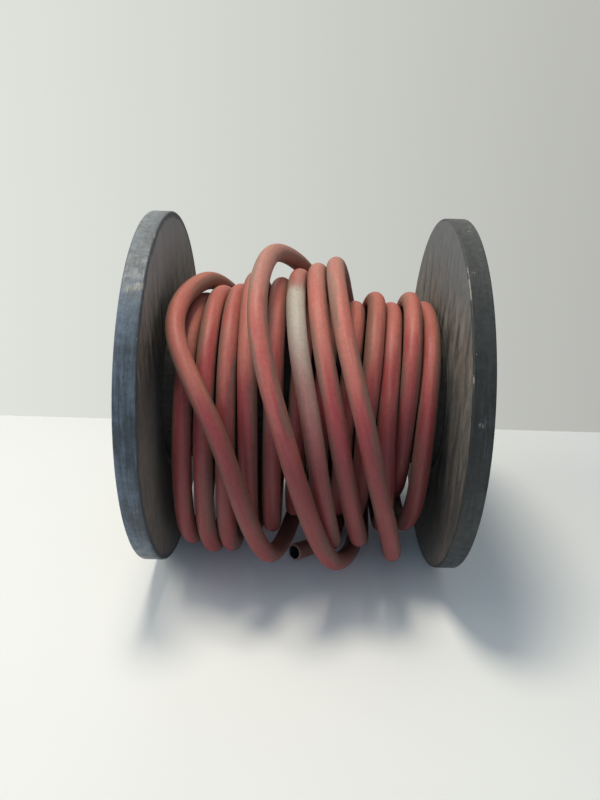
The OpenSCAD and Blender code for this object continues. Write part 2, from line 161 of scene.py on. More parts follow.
class Route:
    """The hose's middle line, a smooth curve through the stations round the spool's axis. Both
    ends run straight on for one diameter."""

    def __init__(self, hose):
        seat = DRUM_RADIUS + hose.seat_gap + hose.diameter / 2
        slack = (AXIS_HEIGHT - hose.floor_gap - hose.diameter / 2 - seat) / DRAWN_SLACK
        side = (INNER_FACE - hose.side_gap - hose.diameter / 2) / DRAWN_SIDE
        loops = [station for loop in LEANING_LOOPS for station in loop]
        drawn = FREE_END + loops + drum_stations() + [(INNER_END_X, 0)]
        self.stations = [(across * side, seat + height * slack) for across, height in drawn]
        self.first_angle = -EIGHTH * len(FREE_END)
        self.straight = hose.diameter
        count = math.ceil((INNER_ANGLE - FREE_ANGLE) / MEASURING_STEP)
        self.step = (INNER_ANGLE - FREE_ANGLE) / count
        line = [self.point(FREE_ANGLE + self.step * number) for number in range(count + 1)]
        self.lengths = [self.straight]
        for a, b in zip(line, line[1:]):
            self.lengths.append(self.lengths[-1] + (b - a).length)
        self.length = self.lengths[-1] + self.straight

    def station(self, number):
        """The station with this number, or the last one at either end."""
        return self.stations[max(0, min(len(self.stations) - 1, number))]

    def point(self, angle):
        """The middle line's place at an angle."""
        along = (angle - self.first_angle) / EIGHTH
        number = math.floor(along)
        near = [self.station(number + step) for step in (-1, 0, 1, 2)]
        across, radius = (smooth(*values, along - number) for values in zip(*near))
        turn = math.radians(angle)
        return Vector((across, -radius * math.sin(turn), radius * math.cos(turn) + AXIS_HEIGHT))

    def heading(self, angle):
        """The direction of the middle line at an angle."""
        return (self.point(angle + 1) - self.point(angle - 1)).normalized()

    def frame_at(self, angle, ahead):
        """Matrix whose X is across the hose, Y away from the drum and Z along the hose."""
        turn = math.radians(angle)
        heading = self.heading(angle)
        out = Vector((0, -math.sin(turn), math.cos(turn)))
        out = (out - out.dot(heading) * heading).normalized()
        across = heading.cross(out)
        matrix = Matrix((across, out, heading)).transposed().to_4x4()
        matrix.translation = self.point(angle) + ahead * heading
        return matrix

    def angle_along(self, length):
        """The angle at a length along the hose from its free end."""
        after = min(max(bisect.bisect(self.lengths, length), 1), len(self.lengths) - 1)
        start, end = self.lengths[after - 1:after + 1]
        share = min(max((length - start) / (end - start), 0), 1)
        return FREE_ANGLE + self.step * (after - 1 + share)

    def length_at(self, angle):
        """The length along the hose from its free end to an angle."""
        return self.lengths[round((angle - FREE_ANGLE) / self.step)]

    def frame_along(self, length):
        """The matrix of frame_at at a length along the hose, also on its straight ends."""
        ahead = min(length - self.straight, 0) + max(length - self.lengths[-1], 0)
        return self.frame_at(self.angle_along(length), ahead)


# ---- Colours ----
def tone(red, green, blue):
    """Linear colour of a screen colour given from 0 to 255."""
    found = []
    for part in (red, green, blue):
        share = part / 255
        found.append(share / 12.92 if share <= 0.04045 else ((share + 0.055) / 1.055) ** 2.4)
    return tuple(found)


def times(colour, factor):
    return tuple(part * factor for part in colour)


def colour_property(name, description, default):
    return FloatVectorProperty(
        name=name, description=description, subtype="COLOR", size=3, min=0, max=1, default=default)


def length_property(name, description, default):
    return FloatProperty(
        name=name, description=description, default=default, min=0, unit="LENGTH", precision=4)


# ---- Settings ----
class HoseSettings(PropertyGroup):
    """Sizes and colours of the hose."""

    diameter: length_property("Diameter", "Outer diameter of the hose", 0.025)
    wall: length_property("Wall", "Thickness of the hose's wall", 0.003)
    lining: length_property("Lining", "Thickness of the black lining inside the wall", 0.0011)
    braid: length_property("Braid", "Thickness of the textile layer in the wall", 0.0008)
    bore_depth: length_property("Bore depth", "How deep the open bore is modelled", 0.06)
    seat_gap: length_property("Seat gap", "Clearance between the hose and the drum", 0.0002)
    floor_gap: length_property("Floor gap", "Clearance between the hose and the floor", 0.0008)
    side_gap: length_property("Side gap", "Clearance between the winding and the cheeks", 0.001)
    lip: length_property("Lip", "Rounding of the cut ends' outer edge", 0.0006)
    ring_space: length_property("Ring space", "Distance between the rings of the hose's mesh", 0.0095)
    sides: IntProperty(name="Sides", description="Sides of a ring", default=32, min=8, max=64)
    rose: colour_property("Rose", "Red of the rubber cover where it is rubbed clean", tone(171, 67, 68))
    salmon: colour_property("Salmon", "The cover where dust has faded it", tone(187, 108, 93))
    # Taupe is also painted shade at the tube's edges and on its side towards the drum
    taupe: colour_property("Taupe", "Grey brown along the hose's flanks", tone(128, 102, 86))
    dust: colour_property("Dust", "Grey dust on the highest loops", tone(166, 136, 122))
    # The low turns' brown is painted shade
    shade_tone: colour_property("Grime", "Brown dirt on the turns near the floor", tone(82, 48, 45))
    bleached: colour_property("Bleached", "Chalky tone where the cover is bleached", tone(196, 182, 164))
    mauve: colour_property("Mauve", "Where the bleaching fades out", tone(160, 124, 112))
    textile: colour_property("Textile", "Threads seen in the cut ends", tone(188, 176, 156))
    black: colour_property("Black", "Hollows of the black lining", tone(20, 18, 18))
    worn_black: colour_property("Worn black", "Ribs of the black lining", tone(44, 38, 36))


class CheekSettings(PropertyGroup):
    """Colours of the cheeks."""

    # The left rim is the same black paint as the right one, made bluish and lighter as a painted
    # reflection
    left_paint_and_reflection: colour_property("Left paint", "Bluish black paint of the left rim", tone(70, 80, 90))
    right_paint: colour_property("Right paint", "Black paint of the right rim", tone(30, 34, 35))
    # On the rims' tops this grey is dust and also a painted reflection
    dust: colour_property("Dust", "Dust on top of the rims", tone(128, 130, 130))
    wood_dark: colour_property("Dark grain", "Dark streaks of the weathered faces", tone(60, 57, 52))
    wood_light: colour_property("Light grain", "Light streaks of the weathered faces", tone(142, 134, 122))
    wood_brown: colour_property("Brown grain", "Brown streaks of the weathered faces", tone(98, 87, 76))
    stain: colour_property("Stain", "Black stains on the weathered faces", tone(44, 42, 40))
    # Colour of the painted shade on the lower half of the faces
    lower_face_shade: colour_property("Soot", "Even dirt on the lower half of the faces", tone(62, 59, 58))
    # Paler near the floor: dust, and painted light where the hose shades the faces
    settled_dust_and_light: colour_property("Settled dust", "Grey dust on the faces near the floor", tone(118, 110, 102))
    # The left face's film is lighter as painted light, since that face is turned away from the lamps
    left_film_and_light: colour_property(
        "Left film", "Grey paint left near the top of the left face", tone(158, 160, 158))
    right_film: colour_property(
        "Right film", "Grey paint left near the top of the right face", tone(108, 111, 113))
    # A pale ring just outside the drum
    ring: colour_property("Ring", "Pale ring that the hose has rubbed", tone(150, 146, 140))
    bare: colour_property("Bare edge", "Bare wood where the paint has worn away", tone(172, 162, 150))


class DrumSettings(PropertyGroup):
    """Colours of the drum."""

    paint: colour_property("Paint", "Black paint of the staves", tone(48, 43, 42))
    worn: colour_property("Worn", "Where that paint has worn thin", tone(92, 82, 74))
    chipped: colour_property("Chipped", "Metal where that paint has chipped", tone(96, 94, 92))
    ply_light: colour_property("Light ply", "Light plies of the drum's heads", tone(190, 158, 118))
    ply_dark: colour_property("Dark ply", "Dark plies of the drum's heads", tone(128, 96, 66))


class SteelSettings(PropertyGroup):
    """Colours of the steel parts."""

    zinc: colour_property("Zinc", "Dull plating of the steel parts", tone(168, 170, 172))
    tarnish: colour_property("Tarnish", "Dark stains on the plating", tone(112, 108, 104))
    rust: colour_property("Rust", "Rust in the corners", tone(120, 72, 44))


class StageSettings(PropertyGroup):
    """Floor, background and lamps."""

    floor: colour_property("Floor", "Pale table top", tone(246, 245, 241))
    # Background darker on the right: painted shade, lighter on the left where the lamps are
    backdrop_lit_left: colour_property("Background left", "Background on the left", tone(227, 229, 223))
    backdrop_shaded_right: colour_property("Background right", "Background on the right", tone(180, 181, 176))
    back_edge: length_property("Back edge", "Distance of the table's back edge", 0.42)
    top_power: FloatProperty(
        name="Top lamp", description="Power of the lamp overhead", default=27, min=0, unit="POWER")
    side_power: FloatProperty(
        name="Side lamp", description="Power of the large lamp on the left", default=17.5, min=0,
        unit="POWER")
    lamp_colour: colour_property("Lamp colour", "Slightly warm light of both lamps", (1.0, 0.93, 0.80))
    fill: FloatProperty(
        name="Fill", description="Strength of the light from all round", default=0.54, min=0)
    fill_left: colour_property("Left fill colour", "Bluish light from the left", (0.58, 0.79, 1.0))
    fill_right: colour_property("Right fill colour", "Plain light from the right", (0.74, 0.71, 0.62))
    fill_front: colour_property("Front fill colour", "Blue light low in front", (0.42, 0.66, 1.0))


class ReelSettings(PropertyGroup):
    """All settings of the hose reel."""

    hose: PointerProperty(type=HoseSettings)
    cheeks: PointerProperty(type=CheekSettings)
    drum: PointerProperty(type=DrumSettings)
    steel: PointerProperty(type=SteelSettings)
    stage: PointerProperty(type=StageSettings)


# ---- Node trees ----
# Numbers of a Mix node's sockets for colours
MIX_SHARE, MIX_A, MIX_B, MIX_RESULT = 0, 6, 7, 2
# Values between which most of a noise lies
MOST_OF_NOISE = (0.3, 0.7)


class Paint:
    """A material or world node tree, built up one node at a time."""

    def __init__(self, owner):
        self.owner = owner
        owner.use_nodes = True
        self.tree = owner.node_tree
        self.tree.nodes.clear()

    def fill(self, socket, value):
        """Links a socket to another one or gives it a plain value, and a colour its alpha."""
        if isinstance(value, bpy.types.NodeSocket):
            self.tree.links.new(value, socket)
        elif socket.type == "RGBA" and len(value) == 3:
            socket.default_value = (*value, 1)
        else:
            socket.default_value = value

    def node(self, kind, inputs=None, **settings):
        """Adds a node with its settings, and fills its inputs by name or number."""
        made = self.tree.nodes.new(kind)
        for name, value in settings.items():
            setattr(made, name, value)
        for name, value in (inputs or {}).items():
            self.fill(made.inputs[name], value)
        return made

    def object_place(self):
        """Place on the object, in metres from the reel's origin."""
        return self.node("ShaderNodeTexCoord").outputs["Object"]

    def attribute(self, name):
        """The mesh's own attribute of this name."""
        return self.node("ShaderNodeAttribute", attribute_name=name).outputs["Vector"]

    def split(self, vector):
        return self.node("ShaderNodeSeparateXYZ", {"Vector": vector}).outputs

    def joined(self, x, y, z):
        return self.node("ShaderNodeCombineXYZ", {"X": x, "Y": y, "Z": z}).outputs[0]

    def noise(self, vector, scale, detail=3.0, roughness=0.5, distortion=0.0):
        """Soft noise with this many repeats for each metre."""
        return self.node("ShaderNodeTexNoise", {
            "Vector": vector, "Scale": scale, "Detail": detail, "Roughness": roughness,
            "Distortion": distortion}).outputs["Fac"]

    def drawn_out(self, vector, repeats, detail=3.0, roughness=0.5, move=(0, 0, 0)):
        """Noise with its own repeats for each axis, so that it runs along one of them."""
        scaled = self.node(
            "ShaderNodeMapping", {"Vector": vector, "Scale": repeats, "Location": move})
        return self.noise(scaled.outputs["Vector"], 1.0, detail, roughness)

    def cells(self, vector, scale):
        """Distance to the nearest of this many points for each metre."""
        return self.node(
            "ShaderNodeTexVoronoi", {"Vector": vector, "Scale": scale}).outputs["Distance"]

    def sum_of(self, *values, operation="ADD"):
        """All the values added up, or put together by another operation."""
        total = values[0]
        for value in values[1:]:
            total = self.node("ShaderNodeMath", {0: total, 1: value}, operation=operation).outputs[0]
        return total

    def product(self, *values):
        return self.sum_of(*values, operation="MULTIPLY")

    def less(self, a, b):
        return self.sum_of(a, b, operation="SUBTRACT")

    def size_of(self, value):
        """The value without its sign."""
        return self.node("ShaderNodeMath", {0: value}, operation="ABSOLUTE").outputs[0]

    def distance(self, vector, point):
        return self.node(
            "ShaderNodeVectorMath", {0: vector, 1: point}, operation="DISTANCE").outputs["Value"]

    def range(self, value, start, end, low=0.0, high=1.0, kind="SMOOTHSTEP"):
        """The value carried from start...end to low...high, and held beyond them."""
        return self.node("ShaderNodeMapRange", {
            "Value": value, "From Min": start, "From Max": end, "To Min": low, "To Max": high},
            interpolation_type=kind).outputs["Result"]

    def even(self, value, start, end, low=0.0, high=1.0):
        """The same in a straight line."""
        return self.range(value, start, end, low, high, "LINEAR")

    def varied(self, noise, low, high):
        """The values that a noise mostly has, carried in a straight line to low...high."""
        return self.even(noise, *MOST_OF_NOISE, low, high)

    def moved(self, value, noise, reach):
        """The value moved to and fro by a noise, for a ragged edge."""
        return self.sum_of(value, self.product(self.less(noise, 0.5), reach))

    def mix(self, share, a, b, mode="MIX"):
        """Colour a with a share of colour b in it."""
        inputs = {MIX_SHARE: share, MIX_A: a, MIX_B: b}
        return self.node("ShaderNodeMix", inputs, data_type="RGBA", blend_type=mode).outputs[MIX_RESULT]

    def shaded(self, colour, factor):
        """The colour times a factor that changes over the surface."""
        return self.mix(1.0, colour, factor, "MULTIPLY")

    def bump(self, height, depth, normal=None):
        """The normal over a relief of this depth, in metres."""
        inputs = {"Height": height, "Distance": depth}
        if normal is not None:
            inputs["Normal"] = normal
        return self.node("ShaderNodeBump", inputs).outputs["Normal"]

    def surface(self, **inputs):
        """Ends the tree in a Principled shader, whose inputs are named with underscores for spaces."""
        named = {name.replace("_", " "): value for name, value in inputs.items()}
        shader = self.node("ShaderNodeBsdfPrincipled", named)
        self.node("ShaderNodeOutputMaterial", {"Surface": shader.outputs[0]})
        return self.owner


def new_paint(name):
    return Paint(bpy.data.materials.new(name))


# ---- Materials ----
# Patterns are in repeats for each metre, here across the hose, outwards and along it
COVER_CLOUDS = (90, 90, 12)
COVER_STREAKS = (420, 420, 16)
COVER_PITS = (260, 260, 60)
LINING_RIBS = (150, 150, 900)
# Angles of the route between which the cover is bleached, and how far along that comes in and
# starts to fade
BLEACHED_FROM = 2 * 360 + 4.5
BLEACHED_TO = 2 * 360 + 110
BLEACHED_IN = 0.07
BLEACHED_FADES = 0.10
# Heights over which the cover fades, darkens as painted shade on the low turns, and takes on its dust
FADED_HEIGHTS = (0.22, 0.40)
SHADE_HEIGHTS = (0.37, 0.20)
FULL_SHADE_HEIGHTS = (0.02, 0.14)
LOOP_DUST_HEIGHTS = (0.40, 0.46)


def shaded_dusty_cover(paint, hose, colour, height, cloudy):
    """The cover's colour with brown painted shade on the low turns and grey dust on the highest loops."""
    # Painted shade: the low turns grow darker brown, most of all near the floor
    shade = paint.product(
        paint.range(paint.moved(height, cloudy, 0.10), *SHADE_HEIGHTS, 0.0, 0.6),
        paint.range(height, *FULL_SHADE_HEIGHTS, 0.55, 1.0))
    colour = paint.mix(shade, colour, hose.shade_tone)
    dust = paint.range(paint.moved(height, cloudy, 0.06), *LOOP_DUST_HEIGHTS, 0.0, 0.5)
    return paint.mix(dust, colour, hose.dust)


def bleached_cover(paint, hose, route, colour, along, cloudy, streaks):
    """The cover's colour with one chalky length, which fades out through mauve."""
    start = route.length_at(BLEACHED_FROM)
    end = route.length_at(BLEACHED_TO)
    ragged = paint.moved(along, cloudy, 0.06)
    chalk = paint.product(
        paint.range(ragged, start, start + BLEACHED_IN),
        paint.even(ragged, start + BLEACHED_FADES, end, 1.0, 0.0))
    colour = paint.mix(paint.range(chalk, 0.08, 0.8, 0.0, 0.8), colour, hose.mauve)
    streaky = paint.range(streaks, *MOST_OF_NOISE)
    pale = paint.mix(streaky, hose.bleached, times(hose.bleached, 0.8))
    return paint.mix(paint.range(chalk, 0.6, 0.97), colour, pale)


def marked_cover(paint, hose, colour, laid_out, cloudy, streaks):
    """The cover's colour with mottling, fine lines, dark scuffs and pale specks."""
    mottling = paint.varied(paint.noise(laid_out, 170, 4.0, 0.65), 0.90, 1.08)
    fine = paint.varied(paint.noise(laid_out, 620, 3.0, 0.7), 0.92, 1.08)
    lines = paint.varied(streaks, 0.91, 1.07)
    for factor in (mottling, fine, lines):
        colour = paint.shaded(colour, factor)
    scuffs = paint.product(
        paint.range(streaks, 0.66, 0.74), paint.range(cloudy, 0.52, 0.62), 0.35)
    colour = paint.mix(scuffs, colour, times(hose.taupe, 0.6))
    specks = paint.product(
        paint.range(paint.cells(laid_out, 240), 0.12, 0.06),
        paint.range(paint.noise(laid_out, 50, 2.0), 0.58, 0.66), 0.45)
    return paint.mix(specks, colour, times(hose.bleached, 1.1))


def rubber_cover(hose, route):
    """Rosy rubber with dusty salmon tops, taupe flanks of dust and painted shade, and one length bleached
    by the sun.
    """
    paint = new_paint("hose_rubber")
    laid_out = paint.attribute("laid_out")
    side, outward, along = paint.split(laid_out)
    height = paint.split(paint.object_place())[2]
    only_along = paint.joined(0, 0, along)
    cloudy = paint.drawn_out(laid_out, COVER_CLOUDS, 4.0, 0.6)
    streaks = paint.drawn_out(laid_out, COVER_STREAKS, 3.0, 0.55)

    dusty = paint.sum_of(
        paint.range(height, *FADED_HEIGHTS, 0.0, 0.85),
        paint.varied(paint.noise(only_along, 5.0, 3.0, 0.6), -0.5, 0.5),
        paint.range(cloudy, 0.35, 0.65, -0.2, 0.2))
    cover = paint.mix(paint.range(dusty, 0.0, 1.0), hose.rose, hose.salmon)
    off_strip = paint.size_of(paint.sum_of(
        paint.product(side, 2 / hose.diameter),
        paint.varied(paint.noise(only_along, 4.0, 2.0), -0.5, 0.5),
        paint.range(cloudy, *MOST_OF_NOISE, -0.25, 0.25)))
    # Taupe along the flanks: dust strips, made stronger as painted shade at the tube's edges
    edge_dust_and_shade = paint.product(
        paint.range(off_strip, 0.40, 1.0), paint.range(streaks, 0.25, 0.6, 0.55, 1.0))
    # Painted shade: taupe on the side of the hose that faces the drum, with some dust
    drum_side_dust_and_shade = paint.range(outward, 0.1 * hose.diameter, -0.4 * hose.diameter, 0.0, 0.8)
    flank = paint.sum_of(edge_dust_and_shade, drum_side_dust_and_shade, operation="MAXIMUM")
    colour = paint.mix(paint.product(flank, 0.92), cover, hose.taupe)
    colour = shaded_dusty_cover(paint, hose, colour, height, cloudy)
    colour = bleached_cover(paint, hose, route, colour, along, cloudy, streaks)
    colour = marked_cover(paint, hose, colour, laid_out, cloudy, streaks)

    rough = paint.sum_of(
        paint.range(dusty, 0.0, 1.0, 0.44, 0.54),
        paint.range(flank, 0.0, 1.0, 0.0, 0.16),
        paint.range(paint.noise(laid_out, 320, 3.0), *MOST_OF_NOISE, -0.04, 0.04))
    grain = paint.noise(laid_out, 1500, 3.0, 0.6)
    pits = paint.drawn_out(laid_out, COVER_PITS, 4.0, 0.6)
    normal = paint.bump(grain, depth=0.00004)
    normal = paint.bump(pits, depth=0.00016, normal=normal)
    return paint.surface(
        Base_Color=colour, Roughness=rough, Normal=normal, Specular_IOR_Level=0.33,
        Sheen_Weight=0.1, Sheen_Roughness=0.5, Sheen_Tint=hose.salmon)


def hose_textile(hose):
    """Ends of the textile threads in the hose's wall."""
    paint = new_paint("hose_textile")
    laid_out = paint.attribute("laid_out")
    threads = paint.cells(laid_out, 1400)
    colour = paint.mix(paint.range(threads, 0.2, 0.8), hose.textile, times(hose.textile, 0.45))
    normal = paint.bump(threads, depth=0.0003)
    return paint.surface(Base_Color=colour, Roughness=0.9, Normal=normal)


def hose_lining(hose):
    """Black rubber inside the hose."""
    paint = new_paint("hose_lining")
    laid_out = paint.attribute("laid_out")
    ribs = paint.drawn_out(laid_out, LINING_RIBS)
    colour = paint.mix(ribs, hose.black, hose.worn_black)
    normal = paint.bump(ribs, depth=0.0002)
    return paint.surface(Base_Color=colour, Roughness=0.6, Normal=normal)


class CheekLook(NamedTuple):
    """What differs between the two cheeks. Angles are in degrees from the top of the rim."""

    name: str
    seed: float
    paint: tuple  # colour of the rim
    film: tuple  # colour of what paint is left at the top of the face, on the left face lighter as painted light
    lap: float  # how far the rim's paint laps over the face
    lower_face_shade: float  # share of painted shade on the lower half of the face
    settled_dust_and_light: float  # height up to which the face is paler: settled dust, and painted light in the hose's shade
    dust: float  # share of dust and painted reflection on the top of the rim
    foot: float  # share of dust on the rim near the floor
    wear: float  # share of bare wood along the inner arris between the marks
    marks: tuple  # (angle, reach) of worn stretches of the inner arris
    scuffs: tuple  # (across, angle, radius) of pale knocks on the rim


# Patterns of a board: through it, across its upright grain and along it
GRAIN_BEND = (0, 3, 1.2)
BROAD_GRAIN = (1, 24, 1.8)
GRAIN_STRIPS = (1, 85, 14)
FIBRES = (1, 320, 10)
PATCHES = (1, 60, 26)
BROWN_STREAKS = (1, 16, 3)
STAINS = (1, 40, 7)
# Heights over which the stains thicken as painted shade, the lower half darkens as painted shade, and what
# is left of old paint comes in
STAIN_AND_SHADE_HEIGHTS = (0.36, 0.16)
LOWER_SHADE_HEIGHTS = (0.42, 0.33)
FILM_HEIGHTS = (0.41, 0.52)
# How far up the paler settled dust, partly painted light, thins out
SETTLED_DUST_AND_LIGHT_FADE = 0.12
# Pale ring on the cheeks just outside the drum, and how far from it its tone comes in
PALE_RING = DRUM_RADIUS + 0.010
RING_REACH = (0.006, 0.001)
# Only the inner faces have the ring, which stops between these depths
RING_DEPTHS = (INNER_FACE + 0.002, INNER_FACE + 0.001)
# Patterns of a rim: across it, and the two ways in its round
BRUSH_MARKS = (220, 14, 14)
SCRATCHES = (900, 30, 30)
KNOCKS = (700, 70, 70)
# Angles from the top over which dust and a painted reflection come in on the rims, and heights over which
# dust comes in near the floor
TOP_DUST_AND_SHEEN_ANGLES = (62, 22)
FOOT_DUST_HEIGHTS = (0.12, 0.01)
# How far across a rim its paint grows lighter from the inner arris
RIM_LIGHTER = 0.020
# How far below the rim its paint ends, without what laps over the face, how sharply it ends and
# how ragged that edge is
PAINT_IN = 0.0015
PAINT_BLUR = 0.0008
PAINT_RAGGED = 0.003
# Distance of an arris's middle from face and rim, and how far from it bare wood comes in
ARRIS_IN = 0.0008
ARRIS_REACH = (0.0013, 0.0004)


def weathered_board(paint, cheeks, look, place, radius):
    """Colour and relief of a bare grey board: upright grain, dark stains, a pale ring, painted shade low
    down, painted light near the floor and atop the left face.
    """
    x, y, z = paint.split(place)
    bend = paint.drawn_out(place, GRAIN_BEND, 2.0, move=(0, look.seed, 0))
    bent = paint.joined(look.seed, paint.sum_of(y, paint.product(bend, 0.03)), z)
    broad = paint.drawn_out(bent, BROAD_GRAIN, 4.0, 0.6)
    strips = paint.drawn_out(bent, GRAIN_STRIPS, 4.0, 0.65)
    fibres = paint.drawn_out(bent, FIBRES, 4.0, 0.7)
    grain = paint.sum_of(
        paint.even(broad, 0.35, 0.65, 0.0, 0.4),
        paint.even(strips, 0.33, 0.67, 0.0, 0.4),
        paint.even(fibres, 0.33, 0.67, 0.0, 0.2))
    patches = paint.drawn_out(bent, PATCHES, 5.0, 0.7)
    blotches = paint.even(patches, 0.35, 0.65, -0.4, 0.4)
    colour = paint.mix(paint.sum_of(grain, blotches), cheeks.wood_dark, cheeks.wood_light)
    brown = paint.range(paint.drawn_out(bent, BROWN_STREAKS, move=(3, 0, 0)), 0.45, 0.62)
    colour = paint.mix(paint.product(brown, 0.55), colour, cheeks.wood_brown)

    stains = paint.drawn_out(bent, STAINS, 5.0, 0.65, move=(look.seed, 0, 0))
    # Stains grow denser lower down as painted shade
    lower = paint.range(z, *STAIN_AND_SHADE_HEIGHTS, 0.0, 0.1)
    dark = paint.range(paint.sum_of(stains, lower), 0.53, 0.64, 0.0, 0.85)
    colour = paint.mix(dark, colour, cheeks.stain)
    uneven = paint.sum_of(z, paint.product(strips, 0.06))
    # Painted shade: the lower half of the face darker
    lower_shaded = paint.range(uneven, *LOWER_SHADE_HEIGHTS, 0.0, look.lower_face_shade)
    colour = paint.mix(lower_shaded, colour, cheeks.lower_face_shade)
    # Paler near the floor: settled dust, and painted light in the hose's shade
    settled_dust_and_light = paint.product(
        paint.range(uneven, look.settled_dust_and_light, look.settled_dust_and_light - SETTLED_DUST_AND_LIGHT_FADE),
        paint.range(patches, 0.35, 0.65, 0.95, 0.6))
    colour = paint.mix(settled_dust_and_light, colour, cheeks.settled_dust_and_light)
    # Grey paint left near the top; on the left face its lighter tone is painted light
    streaky = paint.sum_of(z, paint.product(strips, 0.07), paint.product(fibres, 0.03))
    film = paint.range(streaky, *FILM_HEIGHTS, 0.0, 0.8)
    colour = paint.mix(film, colour, look.film)
    # A pale ring just outside the drum, on the inner faces only
    from_ring = paint.size_of(paint.less(radius, PALE_RING))
    ring = paint.range(from_ring, *RING_REACH, 0.0, 0.7)
    inside = paint.range(paint.size_of(x), *RING_DEPTHS)
    colour = paint.mix(paint.product(ring, inside, paint.range(grain, 0.2, 0.7)), colour, cheeks.ring)
    return colour, paint.sum_of(paint.product(strips, 0.5), paint.product(fibres, 0.5))


def rim_paint(paint, cheeks, look, place, angle):
    """Colour of the old black paint on a rim: brush marks, scratches, dust and painted reflection on the
    top, small chips.
    """
    across, _, height = paint.split(place)
    brush = paint.drawn_out(place, BRUSH_MARKS, 4.0, 0.65)
    clouds = paint.noise(place, 22, 4.0, 0.6)
    brushed = paint.range(paint.sum_of(brush, clouds), 0.8, 1.2)
    # On the left rim this paint carries a painted bluish reflection
    coat = paint.mix(brushed, times(look.paint, 0.55), times(look.paint, 1.45))
    # Grey on top of the rim: dust, and a painted reflection of the light from above
    from_top = paint.sum_of(paint.size_of(angle), paint.product(clouds, 24))
    top = paint.range(from_top, *TOP_DUST_AND_SHEEN_ANGLES, 0.0, look.dust)
    coat = paint.mix(top, coat, cheeks.dust)
    foot = paint.range(height, *FOOT_DUST_HEIGHTS, 0.0, look.foot)
    coat = paint.mix(foot, coat, cheeks.dust)
    mottled = paint.even(paint.noise(place, 150, 5.0, 0.75), 0.35, 0.65, 0.70, 1.28)
    by_arris = paint.even(
        paint.size_of(across), INNER_FACE, INNER_FACE + RIM_LIGHTER, 0.78, 1.12)
    coat = paint.shaded(paint.shaded(coat, mottled), by_arris)
    scratches = paint.product(
        paint.range(paint.drawn_out(place, SCRATCHES, 3.0, 0.6), 0.60, 0.70),
        paint.range(paint.noise(place, 14, 3.0), 0.48, 0.62), 0.35)
    coat = paint.mix(scratches, coat, cheeks.dust)
    chips = paint.product(
        paint.range(paint.cells(place, 130), 0.12, 0.06),
        paint.range(paint.noise(place, 30, 2.0), 0.60, 0.66), 0.5)
    return paint.mix(chips, coat, cheeks.bare)


def arris_wear(paint, look, place, from_arris, angle):
    """Share of bare wood along the inner arris: a thin broken line, mostly at the marked angles."""
    broken = paint.noise(place, 60, 4.0, 0.7)
    spread = paint.range(paint.noise(place, 9, 3.0, 0.6), 0.56, 0.66, 0.0, look.wear)
    for middle, reach in look.marks:
        near = paint.range(paint.size_of(paint.less(angle, middle)), reach * 1.3, reach * 0.7)
        spread = paint.sum_of(spread, near, operation="MAXIMUM")
    return paint.product(
        paint.range(from_arris, *ARRIS_REACH), spread, paint.range(broken, 0.44, 0.60), 0.5)


def cheek_finish(cheeks, look):
    """A weathered board with black paint on its rim, worn along the arris and knocked in places."""
    paint = new_paint(look.name)
    place = paint.object_place()
    x, y, z = paint.split(place)
    radius = paint.distance(paint.joined(0, y, z), (0, 0, AXIS_HEIGHT))
    turn = paint.sum_of(paint.product(y, -1), paint.less(z, AXIS_HEIGHT), operation="ARCTAN2")
    angle = paint.product(turn, 180 / math.pi)

    wood, relief = weathered_board(paint, cheeks, look, place, radius)
    coat = rim_paint(paint, cheeks, look, place, angle)
    ragged = paint.less(paint.noise(place, 70, 5.0, 0.7), 0.5)
    edge = CHEEK_RADIUS - PAINT_IN
    lapped = paint.range(
        paint.sum_of(radius, paint.product(ragged, look.lap * 3)),
        edge - look.lap * 1.6, edge - look.lap * 0.6)
    wood = paint.mix(paint.product(lapped, 0.75), wood, times(look.paint, 0.8))
    on_rim = paint.range(
        paint.sum_of(radius, paint.product(ragged, PAINT_RAGGED)), edge - PAINT_BLUR, edge)
    colour = paint.mix(on_rim, wood, coat)

    from_arris = paint.sum_of(
        paint.size_of(paint.less(paint.size_of(x), INNER_FACE + ARRIS_IN)),
        paint.size_of(paint.less(radius, CHEEK_RADIUS - ARRIS_IN)), operation="MAXIMUM")
    colour = paint.mix(arris_wear(paint, look, place, from_arris, angle), colour, cheeks.bare)
    knocked = paint.range(paint.drawn_out(place, KNOCKS, 4.0, 0.7), 0.40, 0.62)
    for across, degrees, reach in look.scuffs:
        turned = math.radians(degrees)
        there = (across, -CHEEK_RADIUS * math.sin(turned), AXIS_HEIGHT + CHEEK_RADIUS * math.cos(turned))
        near = paint.range(paint.distance(place, there), reach, reach * 0.3)
        colour = paint.mix(paint.product(near, knocked, 0.58), colour, cheeks.bare)

    rough = paint.sum_of(
        paint.range(on_rim, 0, 1, 0.8, 0.50),
        paint.range(paint.noise(place, 90, 4.0, 0.7), 0.35, 0.65, -0.1, 0.1))
    relief = paint.product(relief, paint.range(on_rim, 0, 1, 1.0, 0.08))
    normal = paint.bump(relief, depth=0.0010)
    normal = paint.bump(ragged, depth=0.0003, normal=normal)
    return paint.surface(Base_Color=colour, Roughness=rough, Normal=normal, Specular_IOR_Level=0.5)


# Patterns of the drum and the steel: along the spool and the two ways across it
STAVE_GRAIN = (6, 180, 180)
HEAD_GRAIN = (20, 120, 9)
PLY_THICKNESS = 0.0030
PLATE_SCRATCHES = (300, 300, 40)
TURNED_SCRATCHES = (40, 260, 260)
FASTENER_SCRATCHES = (200, 200, 200)


